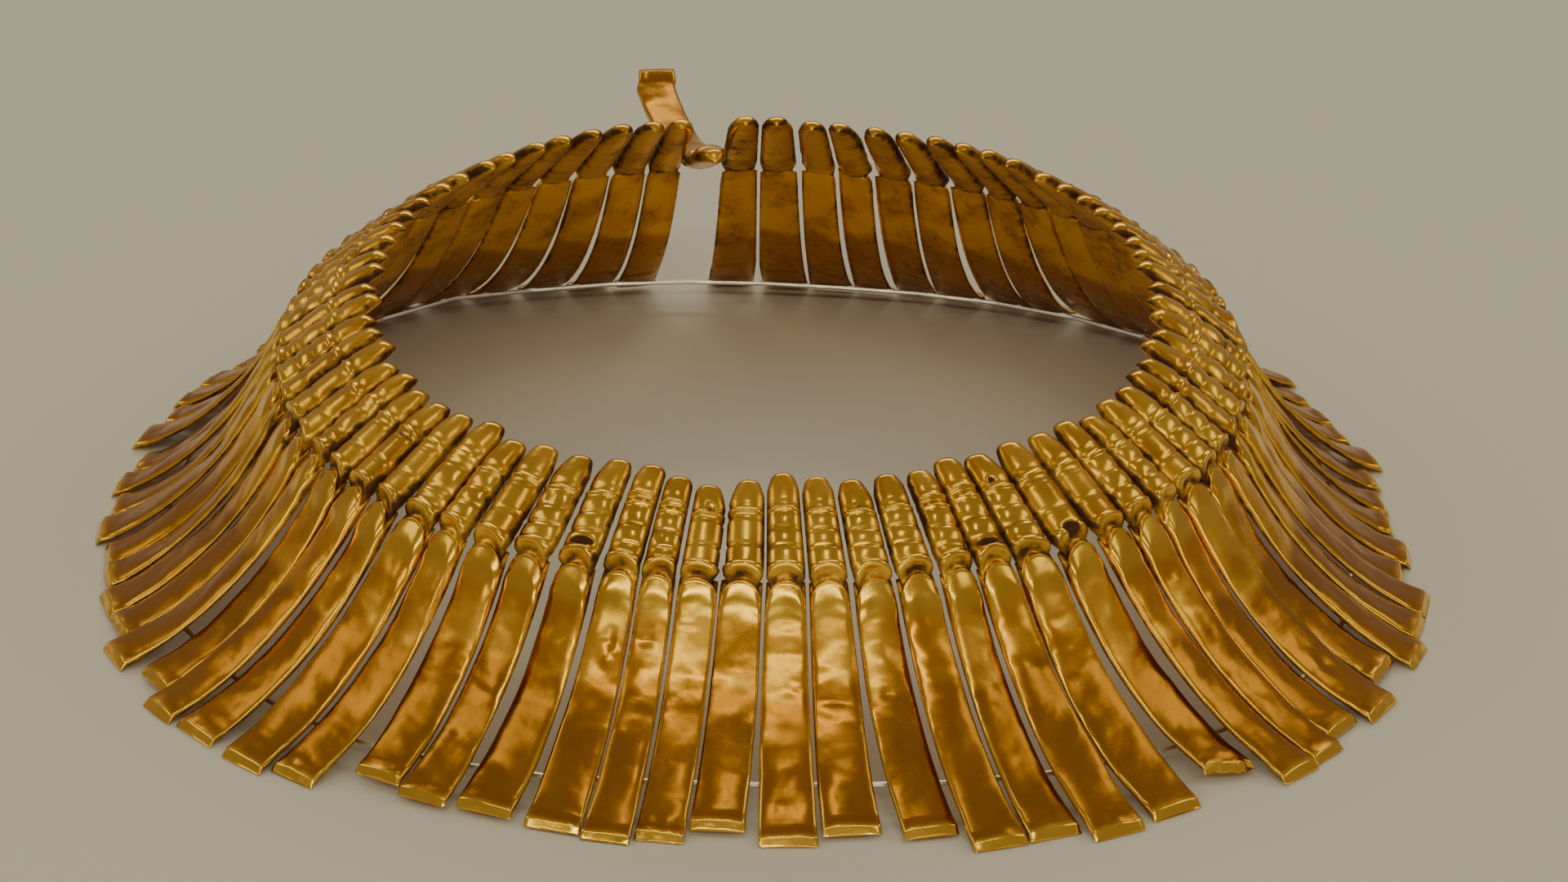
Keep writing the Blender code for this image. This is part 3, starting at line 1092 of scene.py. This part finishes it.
@dataclass(frozen=True)
class SheetGold:
    """Satin sheet gold with hammer marks, red-brown dirt and painted shade, painted brown shade on the
    lower blades and painted highlights on edges, nails and rings.
    """

    name: str = "old_sheet_gold"
    bright: Colour = (0.93, 0.50, 0.060)
    deep: Colour = (0.74, 0.345, 0.034)
    # Browner gold painted in as shade on the lower blades.
    brown: Colour = (0.52, 0.222, 0.024)
    # Dark red-brown for dirt and for the painted shade of recesses, of the sides between heads and of the
    # back.
    soil_and_shade: Colour = (0.080, 0.027, 0.009)
    # Brighter yellow gold painted in as highlight.
    highlight_gold: Colour = (0.98, 0.61, 0.085)
    patch_size: float = 7.0 * MM
    mark_size: float = 1.6 * MM
    grain_size: float = 0.35 * MM
    beat_size: float = 2.4 * MM
    bump_strength: float = 0.5
    bump_depth: float = 0.16 * MM
    sheen: float = 0.25

    def make(self) -> bpy.types.Material:
        """Builds the node material.

        Returns:
            The finish.
        """
        kit = NodeKit(self.name)
        patches = kit.clouds(self.patch_size, 2.0, 0.45)
        marks = kit.clouds(self.mark_size, 2.0, 0.5)
        grain = kit.clouds(self.grain_size, 2.0, 0.5)
        beats = kit.clouds(self.beat_size, 1.0, 0.35)
        # Dirt and painted shade, broken up by noise; where it lies the metal is dulled and roughened.
        soil_and_shade = kit.reckon("ADD", kit.painted("soil_and_shade"), kit.spread(marks, 0.35, 0.75, -0.12, 0.12))
        soil_and_shade = kit.reckon("ADD", soil_and_shade, kit.spread(patches, 0.35, 0.70, -0.10, 0.14))
        soil_and_shade = kit.spread(soil_and_shade, 0.40, 0.90, 0.0, 1.0)
        # Painted highlight: brighter gold is mixed in, and the finish is made a little smoother there.
        painted_highlight = kit.painted("painted_highlight")
        colour = kit.blend(kit.spread(patches, 0.38, 0.64, 0.0, 1.0), self.bright, self.deep)
        # Painted shade: the lower blades turn browner.
        colour = kit.blend(kit.painted("painted_shade"), colour, self.brown)
        # Painted highlight mixed in.
        colour = kit.blend(kit.reckon("MULTIPLY", painted_highlight, 0.8), colour, self.highlight_gold)
        # Mixes in the dark red-brown of dirt and painted shade.
        colour = kit.blend(soil_and_shade, colour, self.soil_and_shade)
        rough = kit.spread(patches, 0.3, 0.7, 0.29, 0.20)
        rough = kit.reckon("ADD", rough, kit.spread(grain, 0.3, 0.7, 0.0, 0.04))
        rough = kit.reckon("ADD", rough, kit.reckon("MULTIPLY", soil_and_shade, 0.30))
        rough = kit.reckon("SUBTRACT", rough, kit.reckon("MULTIPLY", painted_highlight, 0.08))
        height = kit.reckon("ADD", beats, kit.reckon("MULTIPLY", marks, 0.10))
        looks = {
            "Base Color": colour,
            "Roughness": rough,
            "Metallic": kit.spread(soil_and_shade, 0.0, 1.0, 1.0, 0.15),
            "Specular IOR Level": self.sheen,
            "Normal": kit.bumps(height, self.bump_strength, self.bump_depth),
        }
        kit.fill(kit.shader, looks)
        return kit.material


@dataclass(frozen=True)
class WireMetal:
    """Pale drawn wire with a faint dark bloom."""

    name: str = "pale_drawn_wire"
    bright: Colour = (0.92, 0.90, 0.86)
    dull: Colour = (0.66, 0.63, 0.58)
    bloom_size: float = 3.0 * MM
    smoothest: float = 0.28
    roughest: float = 0.48

    def make(self) -> bpy.types.Material:
        """Builds the node material.

        Returns:
            The finish.
        """
        kit = NodeKit(self.name)
        bloom = kit.clouds(self.bloom_size, 4.0, 0.5)
        colour = kit.blend(bloom, self.bright, self.dull)
        rough = kit.spread(bloom, 0.0, 1.0, self.smoothest, self.roughest, "LINEAR")
        kit.fill(kit.shader, {"Base Color": colour, "Roughness": rough, "Metallic": 1.0})
        return kit.material


@dataclass
class Collar:
    """All pendants of the necklace and the wire under them."""

    plan: CollarPlan = field(default_factory=CollarPlan)
    seed: int = 5
    coarse_from: int = 14
    coarse_to: int = 61
    dent_count: int = 3
    dent_ranges: tuple[tuple[float, float], ...] = (
        (20, 50), (-0.7, 0.7), (1.0, 3.0), (0.8, 1.8), (-0.15, 0.35), (0.0, 0.4)
    )

    def ring_centre(self) -> Vector:
        """The ring's centre in the frame, on the ground."""
        low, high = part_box("support_wire")
        return Vector(((low[0] + high[0]) / 2, (low[1] + high[1]) / 2, 0.0))

    def wear_of(self, index: int, rng: random.Random) -> Wear:
        """Wear of a pendant, seeded where the front list has none.

        Args:
            index: The pendant's number, from 0.
            rng: The wear's own generator.

        Returns:
            The pendant's wear.
        """
        pattern = rng.choice((HeadPattern.RINGED, HeadPattern.BARREL, HeadPattern.PLAIN))
        dents = tuple(
            Dent(*(rng.uniform(*span) for span in self.dent_ranges)) for _ in range(self.dent_count)
        )
        seeded = Wear(
            pattern,
            lip_arch=rng.uniform(0.2, 0.8),
            lip_skew=rng.uniform(-0.4, 0.4),
            nail_arch=rng.uniform(2.6, 3.5),
            end_crumple=rng.choice((0.0, 0.0, 0.4)),
            end_open=rng.random() < 0.2,
            dents=dents,
        )
        return FRONT_WEAR.get(index, seeded)

    def build(self) -> list[bpy.types.Object]:
        """Makes every pendant.

        Returns:
            The finished pieces.
        """
        gold = SheetGold().make()
        models = {}
        for pattern in HeadPattern:
            for grade in Grade:
                models[pattern, grade] = StraightPendant(pattern, grade)
                models[pattern, grade].build()
        lines = self.plan.lines(self.ring_centre())
        rng = random.Random(self.seed)
        pieces = []
        for index, line in enumerate(lines):
            wear = self.wear_of(index, rng)
            coarse = self.coarse_from <= index <= self.coarse_to
            model = models[wear.pattern, Grade.COARSE if coarse else Grade.FINE]
            piece = PendantCopy(index, model, line, wear).build(gold)
            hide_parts(self.plan.node_of(index))
            pieces.append(piece)
            LOG.info("%s: %d faces", piece.name, len(piece.data.polygons))
        for model in models.values():
            bpy.data.objects.remove(bpy.data.objects[model.name])
        wire = bpy.data.objects["support_wire"]
        wire_metal = WireMetal().make()
        for slot in wire.material_slots:
            slot.material = wire_metal
        return pieces


@dataclass(frozen=True)
class Strip:
    """A soft strip light: degrees round from the front and up, metres wide and high, and glow."""

    name: str
    turn: float
    height: float
    size: tuple[float, float]
    glow: float


@dataclass
class Studio:
    """Plain pale floor, soft lights and the camera."""

    centre: Vector
    distance: float = 0.64
    elevation: float = math.radians(25.6)
    roll: float = math.radians(1.3)
    lens: float = 85.2
    shift: tuple[float, float] = (0.0163, 0.0517)
    floor_size: float = 4.0
    floor_colour: Colour = (0.80, 0.78, 0.74)
    world_colour: Colour = (1.0, 0.82, 0.72)
    world_strength: float = 0.27
    reach: float = 1.10
    lamp_colour: Colour = (1.0, 0.98, 0.60)
    floor_roughness: float = 0.85
    nearest_seen: float = 0.01
    strips: tuple[Strip, ...] = (
        Strip("front", -4.0, 39.5, (1.3, 0.08), 6.2),
        Strip("low_front", 0.0, 9.0, (1.1, 0.14), 3.4),
        Strip("right", 95.0, 40.0, (0.8, 0.30), 1.2),
        Strip("left", -95.0, 40.0, (0.8, 0.30), 1.2),
        Strip("rear", 180.0, 40.0, (0.9, 0.26), 2.6),
        Strip("top", 0.0, 80.0, (0.16, 0.46), 2.4),
    )

    def floor(self) -> None:
        """Adds the floor."""
        bpy.ops.object.select_all(action="DESELECT")
        bpy.ops.mesh.primitive_plane_add(size=self.floor_size, location=(0, 0, 0))
        ground = bpy.context.object
        ground.name = "pale_floor"
        kit = NodeKit("pale_floor")
        looks = {"Base Color": self.floor_colour, "Roughness": self.floor_roughness}
        kit.fill(kit.shader, looks)
        ground.data.materials.append(kit.material)

    def softbox(self, strip: Strip) -> None:
        """Adds a strip light.

        Args:
            strip: Its place, size and brightness.
        """
        data = bpy.data.lights.new(strip.name, "AREA")
        data.shape = "RECTANGLE"
        data.size, data.size_y = strip.size
        data.energy = math.pi * strip.size[0] * strip.size[1] * strip.glow
        data.color = self.lamp_colour
        light = bpy.data.objects.new(strip.name, data)
        round_by, up = math.radians(strip.turn), math.radians(strip.height)
        level = Vector((math.sin(round_by), -math.cos(round_by), 0.0)) * math.cos(up)
        aim = level + Vector((0, 0, math.sin(up)))
        light.location = self.centre + aim * self.reach
        light.rotation_euler = (-aim).to_track_quat("-Z", "Y").to_euler()
        bpy.context.scene.collection.objects.link(light)

    def camera(self) -> None:
        """Adds the camera at the photograph's viewing angle."""
        data = bpy.data.cameras.new("camera")
        data.lens = self.lens
        data.shift_x, data.shift_y = self.shift
        data.clip_start = self.nearest_seen
        camera = bpy.data.objects.new("camera", data)
        back = Vector((0, -math.cos(self.elevation), math.sin(self.elevation)))
        camera.location = self.centre + self.distance * back
        look = (-back).to_track_quat("-Z", "Y").to_matrix()
        camera.rotation_euler = (look @ Matrix.Rotation(self.roll, 3, "Z")).to_euler()
        bpy.context.scene.collection.objects.link(camera)
        bpy.context.scene.camera = camera

    def build(self) -> None:
        """Builds the whole studio."""
        self.floor()
        world = bpy.data.worlds.new("studio")
        world.use_nodes = True
        background = world.node_tree.nodes["Background"]
        background.inputs["Color"].default_value = (*self.world_colour, 1.0)
        background.inputs["Strength"].default_value = self.world_strength
        bpy.context.scene.world = world
        for strip in self.strips:
            self.softbox(strip)
        self.camera()


def main() -> None:
    """Builds the necklace and its studio and reports each piece."""
    logging.basicConfig(level=logging.INFO, format="%(message)s")
    collar = Collar()
    pieces = collar.build()
    Studio(collar.ring_centre()).build()
    faces = sum(len(piece.data.polygons) for piece in pieces)
    LOG.info("%d pieces with %d faces", len(pieces), faces)


if __name__ == "__main__":
    main()
